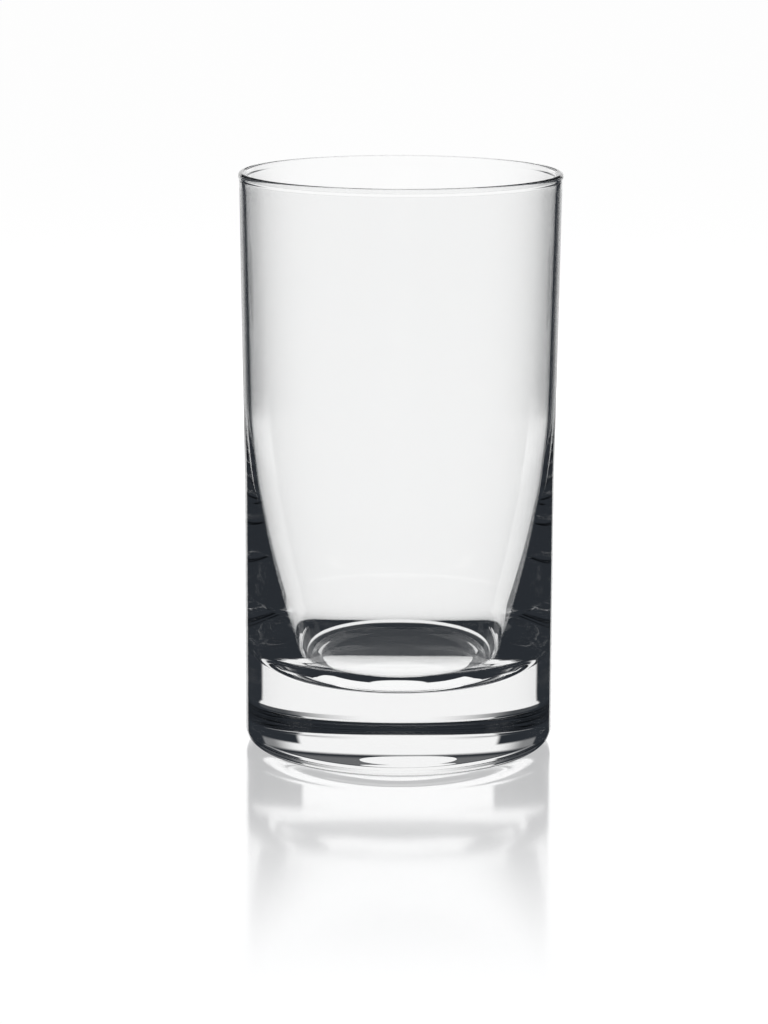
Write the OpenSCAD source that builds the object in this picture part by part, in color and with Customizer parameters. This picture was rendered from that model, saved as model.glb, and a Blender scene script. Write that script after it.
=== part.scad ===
// Highball glass of clear glass: a rounded rim, a side wall that thickens downwards and a heavy base.
// Millimetres, +Z up, with the origin on the axis at the level of the table.

/* [Outside] */
// Height from the table to the top of the rim
height = 135; // [120:1:170]
// Outside diameter of the straight lower body
body_d = 72.5; // [66:0.1:82]
// Outside diameter of the wall just under the rim
mouth_d = 74.5; // [68:0.1:88]
// Height where the straight body starts to open towards the mouth
straight_h = 62; // [35:1:90]

/* [Rim] */
// Thickness of the wall just under the bead
lip_wall = 1.4; // [1:0.1:2.5]
// Height of the bead, from where it starts to swell to the top
bead_h = 2; // [1.9:0.1:4]
// How far the bead stands out from the outside of the wall
bead_out = 0.25; // [0:0.05:0.8]
// How far the bead stands out from the inside of the wall
bead_in = 0.05; // [0:0.05:0.5]

/* [Inside] */
// Height of the lowest point of the cavity's floor above the table
floor_h = 15.2; // [10:0.1:35]
// Radius of the shallow bowl that the floor forms
floor_r = 83; // [60:1:300]
// Height where the wall starts to thicken on its way down
thicken_h = 80; // [75:1:115]
// Thickness of the wall at that height
mid_wall = 1.7; // [1:0.1:3]
// Radius of the long curve that thickens the wall
sweep_r = 228; // [210:1:600]
// Radius of the corner between that curve and the floor
corner_r = 11; // [4:0.5:14]

/* [Underside] */
// Radius of the rounded heel between the side and the underside
heel_r = 3.5; // [2:0.5:8]
// Width of the flat ring that the glass stands on
ring_w = 5.5; // [1.5:0.5:8]
// Depth of the shallow hollow inside that ring
punt_depth = 1.7; // [0.4:0.1:4]

/* [Hidden] */
$fn = 180;
clear_glass = [0.86, 0.90, 0.91, 0.45];
// Straight pieces that a long curve and a tight curve are drawn with
long_steps = 32;
tight_steps = 16;

// Outside of the wall
body_r = body_d / 2;
mouth_r = mouth_d / 2;
wall_top = height - bead_h;
flare = atan((mouth_r - body_r) / (wall_top - straight_h));
function outside_r(z) = body_r + max(0, z - straight_h) * tan(flare);

// Lower of the two points where a circle about a centre on the axis crosses one about a centre left of it
function crossing(centre, r, left_centre, left_r) =
    let (
        span = norm(left_centre - centre),
        towards = (left_centre - centre) / span,
        along = (r * r - left_r * left_r + span * span) / (2 * span),
        across = sqrt(r * r - along * along))
    centre + along * towards + across * [-towards.y, towards.x];

// Direction from one point to another
function heading(from, to) = atan2(to.y - from.y, to.x - from.x);

// Inside of the wall: a straight taper, then a long curve that turns in, a corner, and a shallow bowl.
// The corner's centre lies where its arc runs smoothly into the long curve above and the bowl below.
lip_r = mouth_r - lip_wall;
mid_r = outside_r(thicken_h) - mid_wall;
lean = atan((lip_r - mid_r) / (wall_top - thicken_h));
sweep_c = [mid_r - sweep_r * cos(lean), thicken_h + sweep_r * sin(lean)];
bowl_c = [0, floor_h + floor_r];
corner_c = crossing(bowl_c, floor_r - corner_r, sweep_c, sweep_r - corner_r);
corner_start = heading(sweep_c, corner_c);
corner_end = heading(bowl_c, corner_c);

// Level of the joint between side wall and base, where the long curve meets the corner
joint_h = sweep_c.y + sweep_r * sin(corner_start);

// Underside: the standing ring lies inside the heel, and the hollow is a shallow dish inside the ring
ring_r = body_r - heel_r;
punt_r = ring_r - ring_w;
dish_r = (punt_r * punt_r + punt_depth * punt_depth) / (2 * punt_depth);

// Bead: half its thickness rounds its top, and its flanks swell out of the wall below that
bead_r = (lip_wall + bead_out + bead_in) / 2;
bead_x = mouth_r + bead_out - bead_r;
flank_h = bead_h - bead_r;

// Points on an arc about a centre, from one angle to another
function arc(centre, r, from, to, steps) = [
    for (i = [0:steps])
        let (a = from + (to - from) * i / steps)
        centre + r * [cos(a), sin(a)]
];

// Points up one flank of the bead, which eases out by a width and is upright at both ends
function flank(start_r, swell) = [
    for (i = [0:tight_steps])
        let (t = i / tight_steps)
        [start_r + swell * (1 - cos(180 * t)) / 2, wall_top + flank_h * t]
];

function reversed(points) = [for (i = [len(points) - 1:-1:0]) points[i]];

// Outside of the wall, upwards from one level to another
function outside_points(low, high) = concat(
    [[outside_r(low), low]],
    low < straight_h && straight_h < high ? [[body_r, straight_h]] : [],
    [[outside_r(high), high]]);

// Inside of the thickening wall, upwards from the joint
function sweep_points() = arc(sweep_c, sweep_r, corner_start, -lean, long_steps);

// Rounded ring at the mouth
module rim() {
    color(clear_glass)
        rotate_extrude()
            polygon(concat(
                flank(mouth_r, bead_out),
                arc([bead_x, height - bead_r], bead_r, 0, 180, tight_steps),
                reversed(flank(lip_r, -bead_in))));
}

// Wall from the base up to the bead
module side_wall() {
    color(clear_glass)
        rotate_extrude()
            polygon(concat(
                outside_points(joint_h, wall_top),
                [[lip_r, wall_top]],
                reversed(sweep_points())));
}

// Solid bottom with the rounded floor of the cavity, the heel, the standing ring and the shallow hollow
module base() {
    color(clear_glass)
        rotate_extrude()
            polygon(concat(
                arc([0, punt_depth - dish_r], dish_r, 90, asin((dish_r - punt_depth) / dish_r), tight_steps),
                arc([ring_r, heel_r], heel_r, -90, 0, tight_steps),
                outside_points(heel_r, joint_h),
                arc(corner_c, corner_r, corner_start, corner_end, tight_steps),
                arc(bowl_c, floor_r, corner_end, -90, tight_steps)));
}

rim();
side_wall();
base();
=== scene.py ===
"""A clear highball glass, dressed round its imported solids, on a bright-field table."""

import math

import bpy
from bpy.props import FloatProperty, FloatVectorProperty, IntProperty, PointerProperty
from mathutils import Euler, Matrix, Vector


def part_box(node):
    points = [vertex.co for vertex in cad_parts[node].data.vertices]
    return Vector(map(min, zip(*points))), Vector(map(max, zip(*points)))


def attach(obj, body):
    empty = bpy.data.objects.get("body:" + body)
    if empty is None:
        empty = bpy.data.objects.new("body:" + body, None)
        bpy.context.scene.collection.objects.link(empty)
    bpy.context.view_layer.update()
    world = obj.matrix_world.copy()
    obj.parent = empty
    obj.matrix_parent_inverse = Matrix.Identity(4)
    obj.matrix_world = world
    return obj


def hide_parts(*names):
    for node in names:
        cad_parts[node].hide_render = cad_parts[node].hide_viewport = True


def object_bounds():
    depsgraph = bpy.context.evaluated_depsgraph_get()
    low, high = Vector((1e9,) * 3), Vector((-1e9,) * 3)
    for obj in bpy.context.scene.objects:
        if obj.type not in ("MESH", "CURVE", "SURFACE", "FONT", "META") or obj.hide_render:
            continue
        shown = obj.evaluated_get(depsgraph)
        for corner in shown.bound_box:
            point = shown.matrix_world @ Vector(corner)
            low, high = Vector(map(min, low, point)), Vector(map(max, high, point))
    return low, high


bl_info = {
    "name": "Highball Glass",
    "version": (1, 0, 0),
    "blender": (4, 5, 0),
    "location": "View3D > Sidebar > Highball",
    "description": "Models a clear highball glass and the table set it is shown on",
    "category": "Object",
}

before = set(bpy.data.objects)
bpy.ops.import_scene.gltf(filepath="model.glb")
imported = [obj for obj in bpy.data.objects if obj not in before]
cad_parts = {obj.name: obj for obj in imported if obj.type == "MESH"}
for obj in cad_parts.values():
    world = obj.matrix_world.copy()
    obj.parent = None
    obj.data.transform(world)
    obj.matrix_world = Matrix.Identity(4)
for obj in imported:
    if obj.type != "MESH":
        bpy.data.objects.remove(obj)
CAD_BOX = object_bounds()
BODY_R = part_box("base")[1].x
RIM_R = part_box("rim")[1].x
RIM_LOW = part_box("rim")[0].z
HEIGHT = CAD_BOX[1].z
MM = 0.001
WHITE = (1, 1, 1, 1)
PAPER = (0.8, 0.8, 0.8, 1)
SENSOR_MM = 36
# Straight steps along the curves of the section
DISH_STEPS = 14
ROUND_STEPS = 24
FLANK_STEPS = 8
SWEEP_STEPS = 32
FLOOR_STEPS = 12
# Distances below which points of the section and of the mesh count as one, in metres
SAME_POINT = 1e-7
MERGE_REACH = 1e-6
# Noise values between which the wipe marks on the glass come in
WIPE_LOW = 0.45
WIPE_HIGH = 0.75
# Deep light has met more surfaces than this on its way
DEEP_MET = 4.5
DEEP_SOFT = 0.1
# Softness of the tent's edges and of the contact shade's
TENT_SOFT = math.radians(1.2)
SHADE_SOFT = 0.4 * MM
# Table and contact shade lie this far under the standing ring, so that no faces meet
TABLE_DROP = 0.05 * MM
SHADE_DROP = 0.1 * MM
TABLE_REACH = 4
# Sockets of a Mix node that mixes colours
MIX_SHARE = 0
MIX_FIRST = 6
MIX_SECOND = 7
MIX_RESULT = 2


def millimetres(name, value, description):
    """A length property whose default is given in millimetres."""
    return FloatProperty(
        name=name, description=description, default=value * MM,
        subtype="DISTANCE", unit="LENGTH", precision=5,
    )


def degrees(name, value, description):
    """An angle property whose default is given in degrees."""
    return FloatProperty(
        name=name, description=description, default=math.radians(value), subtype="ANGLE",
    )


def share(name, value, description):
    """A plain number property."""
    return FloatProperty(name=name, description=description, default=value, precision=4)


def tint(name, value, description):
    """A colour property."""
    return FloatVectorProperty(
        name=name, description=description, default=value, subtype="COLOR", size=3,
    )


class GlassSizes(bpy.types.PropertyGroup):
    """Sizes of the glass section that its bounding boxes don't give."""

    bead_out: millimetres("Bead outside", 0.25, "How far the rim bead stands proud of the outer wall")
    bead_in: millimetres("Bead inside", 0.05, "How far the rim bead stands proud of the inner wall")
    lip_wall: millimetres("Lip wall", 1.4, "Wall thickness just under the rim bead")
    straight_h: millimetres("Straight height", 62, "Height up to which the outer wall is upright")
    thicken_h: millimetres("Thickening height", 80, "Height below which the wall grows thicker")
    mid_wall: millimetres("Middle wall", 1.7, "Wall thickness at the thickening height")
    sweep_r: millimetres("Sweep radius", 228, "Radius of the long curve of the inner wall")
    corner_r: millimetres("Corner radius", 11, "Radius where the inner wall turns into the cavity floor")
    floor_h: millimetres("Floor height", 15.2, "Height of the lowest point of the cavity floor")
    floor_r: millimetres("Floor radius", 83, "Radius of the shallow bowl that the cavity floor forms")
    heel_r: millimetres("Heel radius", 3.5, "Radius of the outer bottom edge")
    ring_w: millimetres("Ring width", 5.5, "Width of the flat ring that the glass stands on")
    punt_depth: millimetres("Punt depth", 1.7, "Depth of the hollow under the base")
    gap: millimetres("Section spacing", 2, "Longest straight step along the section")
    turns: IntProperty(name="Turn steps", description="Steps of the section round the axis", default=256)


class GlassFinish(bpy.types.PropertyGroup):
    """Finish of the clear glass."""

    colour: tint("Glass colour", (0.998, 1.0, 0.999), "Tint of the clear glass")
    ior: share("Refractive index", 1.52, "Refractive index of soda-lime glass")
    ripple: millimetres("Ripple height", 0.012, "Height of the faint ripple in the moulded surface")
    ripple_width: millimetres("Ripple width", 22, "Width of one ripple")
    haze: share("Haze", 0.006, "Greatest roughness of the faint wipe marks")
    depth_colour: tint("Depth colour", (0.9, 0.9, 0.9), "Tint that light takes on over the depth below")
    depth: millimetres("Depth", 100, "Thickness of glass over which light takes on that tint")


class StageSettings(bpy.types.PropertyGroup):
    """Camera and lights of the bright-field set. Deep light has met five or more surfaces."""

    camera_away: millimetres("Camera distance", 778.5, "Level distance from the axis to the camera")
    camera_up: millimetres("Camera height", 217.8, "Height of the camera above the table")
    camera_pitch: degrees("Camera pitch", 11.824, "Downward tilt of the camera")
    camera_yaw: degrees("Camera yaw", 0.2645, "Turn of the camera to the left of the glass axis")
    camera_roll: degrees("Camera roll", 0.195, "Roll of the camera")
    lens: FloatProperty(name="Lens", description="Focal length in mm", default=118.9, unit="CAMERA")
    card_left: millimetres("Left card", 75, "Distance from the axis to the left card's back edge")
    card_right: millimetres("Right card", 69.5, "Distance from the axis to the right card's back edge")
    card_back: millimetres("Card back edge", 91.5, "Distance of the cards' back edges behind the axis")
    card_front: millimetres("Card front edge", 60, "Distance of the cards' front edges before the axis")
    card_fade: millimetres("Card fade", 4, "Length over which the cards' back edges fade")
    card_low: millimetres("Card low edge", -50, "Height of the cards' lower edges")
    card_high: millimetres("Card high edge", 350, "Height of the cards' upper edges")
    tent_reach: millimetres("Tent reach", 500, "Radius of the light tent")
    tent_up: millimetres("Tent middle", 12, "Height of the light tent's middle")
    screen_half: degrees("Screen half width", 80, "Reach of the bright screen to each side")
    fall_start: degrees("Fall start", 5, "Turn from straight behind where the screen starts to dim")
    fall_end: degrees("Fall end", 34, "Turn from straight behind where it is dimmest")
    fall_grey: share("Fall grey", 0.05, "Brightness of the screen's sides, where 1 is its middle")
    fall_low: degrees("Fall low edge", -4, "Angle below which the screen stays bright to its sides")
    flag_low: degrees("Flag low edge", 8.7, "Lower edge of the dark flags that narrow the screen")
    flag_high: degrees("Flag high edge", 18.2, "Upper edge of the dark flags")
    flag_half: degrees("Flag opening", 26, "Opening between the flags, to each side")
    side_grey: share("Side grey", 0.25, "Brightness above the flags, where 1 is the screen")
    screen_top: degrees("Screen top", 24.4, "Top edge of the bright screen above the horizon")
    side_half: degrees("Side half width", 42, "Turn above the flags where the screen has dimmed")
    glow_low: degrees("Glow low edge", 26.9, "Lower edge of the dim glow above the screen")
    glow_high: degrees("Glow high edge", 36, "Upper edge of the dim glow")
    glow_grey: share("Glow grey", 0.13, "Brightness of the dim glow, where 1 is the screen")
    lamp_back: millimetres("Lamp distance", 150, "Distance of the small lamp behind the axis")
    lamp_aside: millimetres("Lamp aside", -5.3, "Distance of the small lamp to the right of the axis")
    lamp_up: millimetres("Lamp height", 85.7, "Height of the small lamp's middle")
    lamp_half: millimetres("Lamp half width", 22.5, "Half width of the small lamp")
    lamp_rise: millimetres("Lamp half height", 12, "Half height of the small lamp")
    # Painted contact shadow: a dark ring, seen only in the glass, where the heel shades the table
    shade_in: millimetres("Contact shade inside", 29.7, "Inner radius of the dark ring under the heel")
    shade_out: millimetres("Contact shade outside", 36.5, "Outer radius of the dark ring under the heel")
    table_edge: degrees("Table edge", -74, "Angle below which the lit table shows on every side")
    deep_edge: degrees("Deep edge", 10, "Angle above which the tent is dimmer to deep light")
    deep_dim: share("Deep dimming", 0.65, "How much dimmer the upper tent and the lamp are to deep light")
    screen_light: share("Screen light", 1.06, "Brightness of the screen, where 1 is white")
    dark: tint("Dark surround", (0.024, 0.028, 0.034), "Dark cards on both sides and in front")
    bounces: IntProperty(name="Bounces", description="Most bounces of light in the glass", default=28)
    table_glow: share("Table white", 0.985, "White of the table before its own light")
    mirror: share("Table mirror", 0.95, "Strength of the table's reflection at a flat angle")
    mirror_reach: millimetres("Mirror reach", 190, "Where the reflection has faded before the axis")
    mirror_half: millimetres("Mirror half width", 65, "Where the reflection has faded beside the axis")


class Shade:
    """A socket in a node tree, so that shader maths can be written as expressions."""

    def __init__(self, tree, socket=None):
        self.tree = tree
        self.socket = socket

    def node(self, kind, settings=None, sockets=None, output=0):
        """Adds a node with its settings, then its socket values or links, and gives one output."""
        made = self.tree.nodes.new(kind)
        for name, value in (settings or {}).items():
            setattr(made, name, value)
        for name, value in (sockets or {}).items():
            if isinstance(value, Shade):
                self.tree.links.new(value.socket, made.inputs[name])
            else:
                made.inputs[name].default_value = value
        return Shade(self.tree, made.outputs[output] if made.outputs else None)

    def math(self, operation, *values):
        """One Math node on values or numbers."""
        return self.node("ShaderNodeMath", {"operation": operation}, dict(enumerate(values)))

    def __add__(self, other):
        return self.math("ADD", self, other)

    def __radd__(self, other):
        return self.math("ADD", other, self)

    def __sub__(self, other):
        return self.math("SUBTRACT", self, other)

    def __rsub__(self, other):
        return self.math("SUBTRACT", other, self)

    def __mul__(self, other):
        return self.math("MULTIPLY", self, other)

    def __rmul__(self, other):
        return self.math("MULTIPLY", other, self)

    def step(self, low, high):
        """Rises smoothly from 0 at low to 1 at high, and falls if low is above high."""
        if low > high:
            return 1 - self.step(high, low)
        ends = {"Value": self, "From Min": low, "From Max": high}
        return self.node("ShaderNodeMapRange", {"interpolation_type": "SMOOTHSTEP"}, ends)


def new_material(name):
    """An empty node material and its shade."""
    material = bpy.data.materials.new(name)
    material.use_nodes = True
    material.node_tree.nodes.clear()
    return material, Shade(material.node_tree)


def place_on(shade):
    """The place on the piece itself."""
    return shade.node("ShaderNodeTexCoord", output="Object")


def axes_of(shade, vector):
    """The three parts of a vector."""
    parts = shade.node("ShaderNodeSeparateXYZ", sockets={"Vector": vector}).socket.node.outputs
    return [Shade(shade.tree, part) for part in parts]


def emission(shade, colour, strength):
    """A shader that gives light."""
    return shade.node("ShaderNodeEmission", sockets={"Color": colour, "Strength": strength})


def mixed(shade, mask, first, second):
    """The first shader where the mask is 0 and the second where it is 1."""
    return shade.node("ShaderNodeMixShader", sockets={0: mask, 1: first, 2: second})


def finish_surface(shade, surface, **others):
    """Sends a shader to the surface output, and others to the outputs they name."""
    shade.node("ShaderNodeOutputMaterial", sockets={"Surface": surface, **others})


def dark_where(shade, mask, settings):
    """Ends a material that is dark where the mask is 1 and clear where it is 0."""
    clear = shade.node("ShaderNodeBsdfTransparent")
    dark = emission(shade, (*settings.dark, 1), settings.screen_light)
    finish_surface(shade, mixed(shade, mask, clear, dark))


def clear_glass(finish):
    """Clear moulded glass with a faint ripple and wipe marks, which dims light a little in its depth."""
    material, shade = new_material("clear_glass")
    place = place_on(shade)
    ripple = shade.node("ShaderNodeTexNoise", sockets={
        "Vector": place, "Scale": 1 / finish.ripple_width, "Detail": 1.0, "Roughness": 0.4,
    })
    wipes = shade.node("ShaderNodeTexNoise", sockets={"Vector": place, "Scale": 60.0, "Detail": 4.0})
    normal = shade.node("ShaderNodeBump", sockets={
        "Strength": 1.0, "Distance": finish.ripple, "Height": ripple,
    })
    surface = shade.node("ShaderNodeBsdfPrincipled", sockets={
        "Base Color": (*finish.colour, 1),
        "Roughness": wipes.step(WIPE_LOW, WIPE_HIGH) * finish.haze,
        "IOR": finish.ior,
        "Transmission Weight": 1.0,
        "Normal": normal,
    })
    inside = shade.node("ShaderNodeVolumeAbsorption", sockets={
        "Color": (*finish.depth_colour, 1), "Density": 1 / finish.depth,
    })
    finish_surface(shade, surface, Volume=inside)
    return material


def arc(centre, radius, start, end, steps):
    """Points of an arc in the section plane, from one angle to another in radians."""
    turn = (end - start) / steps
    angles = [start + turn * i for i in range(steps + 1)]
    return [(centre[0] + radius * math.cos(a), centre[1] + radius * math.sin(a)) for a in angles]


def eased(low, high):
    """Points from one place to another that leave and arrive straight up."""
    shares = [i / FLANK_STEPS for i in range(FLANK_STEPS + 1)]
    eases = [(1 - math.cos(math.pi * s)) / 2 for s in shares]
    across = high[0] - low[0]
    rise = high[1] - low[1]
    return [(low[0] + across * e, low[1] + rise * s) for s, e in zip(shares, eases)]


def section(size):
    """Half section as (radius, height), from the centre underneath to the centre of the cavity floor."""
    quarter = math.pi / 2
    mouth_r = RIM_R - size.bead_out
    flare = math.atan((mouth_r - BODY_R) / (RIM_LOW - size.straight_h))
    # Underside: a shallow hollow, the standing ring and the round heel
    ring_r = BODY_R - size.heel_r
    punt_r = ring_r - size.ring_w
    dish_r = (punt_r**2 + size.punt_depth**2) / (2 * size.punt_depth)
    dish_z = size.punt_depth - dish_r
    under = arc((0, dish_z), dish_r, quarter, math.acos(punt_r / dish_r), DISH_STEPS)
    heel = arc((ring_r, size.heel_r), size.heel_r, -quarter, 0, ROUND_STEPS)
    # Rim: flanks that ease out of the walls into a round bead
    bead_r = (size.lip_wall + size.bead_out + size.bead_in) / 2
    bead_x = RIM_R - bead_r
    bead_z = HEIGHT - bead_r
    inner_r = mouth_r - size.lip_wall
    flank_out = eased((mouth_r, RIM_LOW), (RIM_R, bead_z))
    bead = arc((bead_x, bead_z), bead_r, 0, math.pi, ROUND_STEPS)
    flank_in = eased((inner_r, RIM_LOW), (inner_r - size.bead_in, bead_z))[::-1]
    # Inside: a straight taper, one long sweep, a corner that runs smoothly into it, and the bowl
    mid_r = BODY_R + (size.thicken_h - size.straight_h) * math.tan(flare) - size.mid_wall
    lean = math.atan((inner_r - mid_r) / (RIM_LOW - size.thicken_h))
    sweep_c = Vector((mid_r, size.thicken_h))
    sweep_c += size.sweep_r * Vector((-math.cos(lean), math.sin(lean)))
    bowl_c = Vector((0, size.floor_h + size.floor_r))
    corner_c = crossing(bowl_c, size.floor_r - size.corner_r, sweep_c, size.sweep_r - size.corner_r)
    corner_start = heading(sweep_c, corner_c)
    corner_end = heading(bowl_c, corner_c)
    sweep = arc(sweep_c, size.sweep_r, -lean, corner_start, SWEEP_STEPS)
    corner = arc(corner_c, size.corner_r, corner_start, corner_end, ROUND_STEPS)
    floor = arc(bowl_c, size.floor_r, corner_end, -quarter, FLOOR_STEPS)
    wall = [(BODY_R, size.straight_h)]
    points = under + heel + wall + flank_out + bead + flank_in + sweep + corner + floor
    return spaced(points[:-1] + [(0, size.floor_h)], size.gap)


def crossing(centre, radius, left_centre, left_radius):
    """Lower of the two points where a circle crosses one whose centre lies left of it."""
    span = (left_centre - centre).length
    towards = (left_centre - centre) / span
    along = (radius**2 - left_radius**2 + span**2) / (2 * span)
    across = math.sqrt(radius**2 - along**2)
    return centre + along * towards + across * Vector((-towards.y, towards.x))


def heading(start, end):
    """Direction from one section point to another, in radians."""
    return math.atan2(end.y - start.y, end.x - start.x)


def spaced(points, gap):
    """The same outline with repeated points left out and long steps cut into even short ones."""
    kept = points[:1]
    for point in points[1:]:
        last = kept[-1]
        length = math.dist(last, point)
        if length < SAME_POINT:
            continue
        cuts = math.ceil(length / gap)
        for i in range(1, cuts + 1):
            kept.append(tuple(a + (b - a) * i / cuts for a, b in zip(last, point)))
    return kept


def turned(name, points, turns):
    """A closed round piece: a vertex drawn along the section, then spun once round the axis."""
    bpy.ops.object.select_all(action="DESELECT")
    bpy.ops.mesh.primitive_plane_add(size=MM, location=(points[0][0], 0, points[0][1]))
    piece = bpy.context.object
    piece.name = name
    piece.data.name = name
    bpy.ops.object.transform_apply(location=True, rotation=True, scale=True)
    bpy.ops.object.mode_set(mode="EDIT")
    bpy.ops.mesh.select_mode(type="VERT")
    bpy.ops.mesh.merge(type="CENTER")
    for (r, z), (next_r, next_z) in zip(points, points[1:]):
        bpy.ops.mesh.extrude_region_move(TRANSFORM_OT_translate={"value": (next_r - r, 0, next_z - z)})
    bpy.ops.mesh.select_all(action="SELECT")
    bpy.ops.mesh.spin(steps=turns, angle=math.tau, center=(0, 0, 0), axis=(0, 0, 1))
    bpy.ops.mesh.select_all(action="SELECT")
    bpy.ops.mesh.remove_doubles(threshold=MERGE_REACH)
    bpy.ops.mesh.normals_make_consistent(inside=False)
    bpy.ops.object.mode_set(mode="OBJECT")
    bpy.ops.object.shade_smooth()
    return piece


class HIGHBALL_OT_glass(bpy.types.Operator):
    """Model the glass as one turned piece of clear glass"""

    bl_idname = "highball.glass"
    bl_label = "Glass"

    def execute(self, context):
        sizes = context.scene.highball_sizes
        glass = turned("glass", section(sizes), sizes.turns)
        glass.data.materials.append(clear_glass(context.scene.highball_finish))
        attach(glass, "root")
        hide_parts("rim", "side_wall", "base")
        return {"FINISHED"}


def table_material(settings):
    """White table that mirrors the glass softly close to it. Only the camera sees it."""
    material, shade = new_material("white_table")
    seen = shade.node("ShaderNodeLightPath", output="Is Camera Ray")
    side, ahead, _ = axes_of(shade, place_on(shade))
    flat = shade.node("ShaderNodeLayerWeight", sockets={"Blend": 0.5}, output="Facing")
    fade = shade.math("ABSOLUTE", ahead).step(settings.mirror_reach, BODY_R)
    fade = fade * shade.math("ABSOLUTE", side).step(settings.mirror_half, BODY_R)
    glow = emission(shade, WHITE, settings.table_glow)
    paper = shade.node("ShaderNodeBsdfDiffuse", sockets={"Color": PAPER})
    white = shade.node("ShaderNodeAddShader", sockets={0: glow, 1: paper})
    gloss = shade.node("ShaderNodeBsdfGlossy", sockets={"Color": WHITE, "Roughness": 0.1})
    table = mixed(shade, fade * flat * flat * settings.mirror, white, gloss)
    clear = shade.node("ShaderNodeBsdfTransparent")
    finish_surface(shade, mixed(shade, seen, clear, table))
    return material


def deep_light(shade):
    """1 for light that has met five or more surfaces on its way, and 0 for other light."""
    met = shade.node("ShaderNodeLightPath", output="Ray Depth")
    return met.step(DEEP_MET - DEEP_SOFT, DEEP_MET + DEEP_SOFT)


def above(value, edge):
    """1 past an edge of the tent and 0 before it."""
    return value.step(edge - TENT_SOFT, edge + TENT_SOFT)


def below(value, edge):
    """1 before an edge of the tent and 0 past it."""
    return value.step(edge + TENT_SOFT, edge - TENT_SOFT)


def between(value, low, high):
    """1 between two edges of the tent."""
    return above(value, low) * below(value, high)


def tent_material(settings):
    """Light tent: a bright screen narrowed by flags, a dim glow, a lit table and dark all round."""
    material, shade = new_material("light_tent")
    way = shade.node("ShaderNodeVectorMath", {"operation": "NORMALIZE"}, {"Vector": place_on(shade)})
    side, behind, up = axes_of(shade, way)
    aside = shade.math("ABSOLUTE", shade.math("ARCTAN2", side, behind))
    raised = shade.math("ARCSINE", up)
    wide = below(aside, settings.screen_half)
    # Screen up to the flags, which dims to its sides
    fallen = aside.step(settings.fall_start, settings.fall_end) * above(raised, settings.fall_low)
    low = wide * below(raised, settings.flag_low) * (1 - fallen * (1 - settings.fall_grey))
    # Opening between the flags, and the screen above them
    open_way = below(aside, settings.flag_half)
    middle = open_way * between(raised, settings.flag_low, settings.flag_high)
    faded = aside.step(settings.side_half, settings.flag_half) * (1 - settings.side_grey)
    faded = faded + settings.side_grey
    upper = wide * faded * between(raised, settings.flag_high, settings.screen_top)
    glow = wide * between(raised, settings.glow_low, settings.glow_high) * settings.glow_grey
    table = below(raised, settings.table_edge)
    deep = deep_light(shade) * above(raised, settings.deep_edge)
    screen = (low + middle + upper + glow) * (1 - deep * settings.deep_dim)
    light = shade.math("MAXIMUM", screen, table)
    colours = {MIX_SHARE: light, MIX_FIRST: (*settings.dark, 1), MIX_SECOND: WHITE}
    colour = shade.node("ShaderNodeMix", {"data_type": "RGBA"}, colours, MIX_RESULT)
    finish_surface(shade, emission(shade, colour, settings.screen_light))
    return material


def card_material(settings):
    """Dark card whose back edge fades away."""
    material, shade = new_material("dark_card")
    _, behind, _ = axes_of(shade, place_on(shade))
    back = settings.card_back
    fade = settings.card_fade
    dark_where(shade, behind.step(back + fade, back - fade), settings)
    return material


def lamp_material(settings):
    """White face of the small lamp."""
    material, shade = new_material("small_lamp")
    strength = (1 - deep_light(shade) * settings.deep_dim) * settings.screen_light
    finish_surface(shade, emission(shade, WHITE, strength))
    return material


def painted_shadow_material(settings):
    """Painted contact shadow: a dark ring on the table under the heel, clear inside and outside it."""
    material, shade = new_material("painted_contact_shadow")
    length = {"operation": "LENGTH"}
    out = shade.node("ShaderNodeVectorMath", length, {"Vector": place_on(shade)}, "Value")
    # Painted shadow: mask of the dark ring that stands in for the heel's contact shade
    ring = out.step(settings.shade_in - SHADE_SOFT, settings.shade_in + SHADE_SOFT)
    ring = ring * out.step(settings.shade_out + SHADE_SOFT, settings.shade_out - SHADE_SOFT)
    dark_where(shade, ring, settings)
    return material


def add_table(settings, camera):
    """Table top just under the standing ring."""
    bpy.ops.object.select_all(action="DESELECT")
    bpy.ops.mesh.primitive_circle_add(
        vertices=96, radius=TABLE_REACH, fill_type="NGON", location=(0, 0, -TABLE_DROP),
    )
    table = bpy.context.object
    table.name = "table"
    table.data.materials.append(table_material(settings))
    face_camera(table, camera)


def add_camera(settings):
    """Camera at the viewing angle of the photograph."""
    lens = bpy.data.cameras.new("camera")
    lens.lens = settings.lens
    lens.sensor_width = SENSOR_MM
    camera = bpy.data.objects.new("camera", lens)
    bpy.context.scene.collection.objects.link(camera)
    tilt = Euler((math.pi / 2 - settings.camera_pitch, 0, settings.camera_yaw)).to_matrix()
    camera.rotation_euler = (tilt @ Matrix.Rotation(settings.camera_roll, 3, "Z")).to_euler()
    camera.location = (0, -settings.camera_away, settings.camera_up)
    bpy.context.scene.camera = camera
    return camera


def face_camera(prop, camera):
    """Turns a prop of the set with the camera round the upright axis."""
    facing = prop.constraints.new("LOCKED_TRACK")
    facing.target = camera
    facing.track_axis = "TRACK_NEGATIVE_Y"
    facing.lock_axis = "LOCK_Z"


def add_tent(settings, camera):
    """Sphere of light and dark round the set, whose screen stands opposite the camera."""
    bpy.ops.object.select_all(action="DESELECT")
    bpy.ops.mesh.primitive_uv_sphere_add(
        segments=96, ring_count=48, radius=settings.tent_reach, location=(0, 0, settings.tent_up),
    )
    tent = bpy.context.object
    tent.name = "light_tent"
    tent.data.materials.append(tent_material(settings))
    tent.visible_camera = False
    face_camera(tent, camera)


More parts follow.
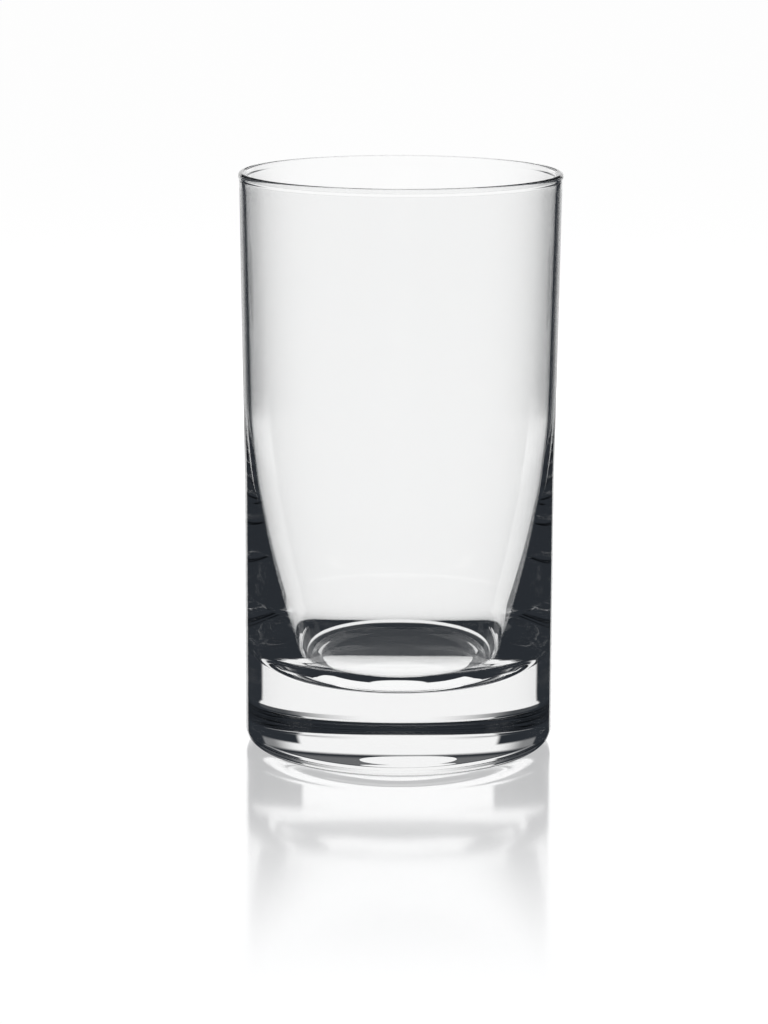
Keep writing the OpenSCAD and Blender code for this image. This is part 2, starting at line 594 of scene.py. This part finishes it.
def add_cards(settings, camera):
    """Dark cards beside the glass, each in line with the camera, so that it is seen edge on."""
    material = card_material(settings)
    eye = Vector((0, -settings.camera_away))
    level = (settings.card_low + settings.card_high) / 2
    tall = settings.card_high - settings.card_low
    for name, aside in {"left_card": -settings.card_left, "right_card": settings.card_right}.items():
        line = Vector((aside, settings.card_back)) - eye
        front = eye + line * (settings.camera_away - settings.card_front) / line.y
        back = eye + line * (settings.camera_away + settings.card_back + settings.card_fade) / line.y
        middle = ((front + back) / 2).to_3d() + Vector((0, 0, level))
        turn = math.atan2(line.y, line.x)
        bpy.ops.object.select_all(action="DESELECT")
        bpy.ops.mesh.primitive_plane_add(size=1, location=middle, rotation=(math.pi / 2, 0, turn))
        card = bpy.context.object
        card.name = name
        card.scale = ((back - front).length, tall, 1)
        bpy.ops.object.transform_apply(location=True, rotation=True, scale=True)
        card.data.materials.append(material)
        seen_in_glass(card)
        face_camera(card, camera)


def seen_in_glass(prop):
    """Hides a prop of the set from everything but the glass and its reflection."""
    prop.visible_camera = False
    prop.visible_diffuse = False
    prop.visible_shadow = False


def add_lamp(settings, camera):
    """Small oval lamp behind the glass."""
    bpy.ops.object.select_all(action="DESELECT")
    bpy.ops.mesh.primitive_circle_add(
        vertices=64, radius=1, fill_type="NGON", rotation=(math.pi / 2, 0, 0),
        location=(settings.lamp_aside, settings.lamp_back, settings.lamp_up),
    )
    lamp = bpy.context.object
    lamp.name = "small_lamp"
    lamp.scale = (settings.lamp_half, settings.lamp_rise, 1)
    bpy.ops.object.transform_apply(location=True, rotation=True, scale=True)
    lamp.data.materials.append(lamp_material(settings))
    seen_in_glass(lamp)
    face_camera(lamp, camera)


def add_painted_shadow(settings, camera):
    """Painted contact shadow: a dark ring over the table under the heel, which little light reaches."""
    bpy.ops.object.select_all(action="DESELECT")
    bpy.ops.mesh.primitive_circle_add(
        vertices=96, radius=settings.shade_out + MM, fill_type="NGON", location=(0, 0, -SHADE_DROP),
    )
    ring = bpy.context.object
    ring.name = "painted_contact_shadow"
    # Painted shadow: the dark ring is seen only in the glass and its reflection
    ring.data.materials.append(painted_shadow_material(settings))
    seen_in_glass(ring)
    face_camera(ring, camera)


def white_world():
    """World that is white to the camera alone."""
    world = bpy.data.worlds.new("white_world")
    world.use_nodes = True
    world.node_tree.nodes.clear()
    shade = Shade(world.node_tree)
    seen = shade.node("ShaderNodeLightPath", output="Is Camera Ray")
    back = shade.node("ShaderNodeBackground", sockets={"Color": WHITE, "Strength": seen})
    shade.node("ShaderNodeOutputWorld", sockets={"Surface": back})
    bpy.context.scene.world = world


class HIGHBALL_OT_stage(bpy.types.Operator):
    """Set the table, the light tent, the white surround and the camera"""

    bl_idname = "highball.stage"
    bl_label = "Stage"

    def execute(self, context):
        settings = context.scene.highball_stage
        camera = add_camera(settings)
        add_table(settings, camera)
        add_tent(settings, camera)
        add_cards(settings, camera)
        add_lamp(settings, camera)
        add_painted_shadow(settings, camera)
        white_world()
        context.scene.cycles.max_bounces = settings.bounces
        context.scene.cycles.transmission_bounces = settings.bounces
        context.scene.cycles.glossy_bounces = settings.bounces
        context.scene.view_settings.view_transform = "Standard"
        return {"FINISHED"}


class HIGHBALL_PT_panel(bpy.types.Panel):
    """Lists the steps that make the glass and its set"""

    bl_label = "Highball Glass"
    bl_idname = "HIGHBALL_PT_panel"
    bl_space_type = "VIEW_3D"
    bl_region_type = "UI"
    bl_category = "Highball"

    def draw(self, context):
        layout = self.layout
        for operator in (HIGHBALL_OT_glass, HIGHBALL_OT_stage):
            layout.operator(operator.bl_idname)


GROUPS = {"highball_sizes": GlassSizes, "highball_finish": GlassFinish, "highball_stage": StageSettings}
CLASSES = (*GROUPS.values(), HIGHBALL_OT_glass, HIGHBALL_OT_stage, HIGHBALL_PT_panel)


def register():
    for item in CLASSES:
        bpy.utils.register_class(item)
    for name, group in GROUPS.items():
        setattr(bpy.types.Scene, name, PointerProperty(type=group))


def unregister():
    for name in GROUPS:
        delattr(bpy.types.Scene, name)
    for item in reversed(CLASSES):
        bpy.utils.unregister_class(item)


def main():
    register()
    bpy.ops.highball.glass()
    bpy.ops.highball.stage()


if __name__ == "__main__":
    main()
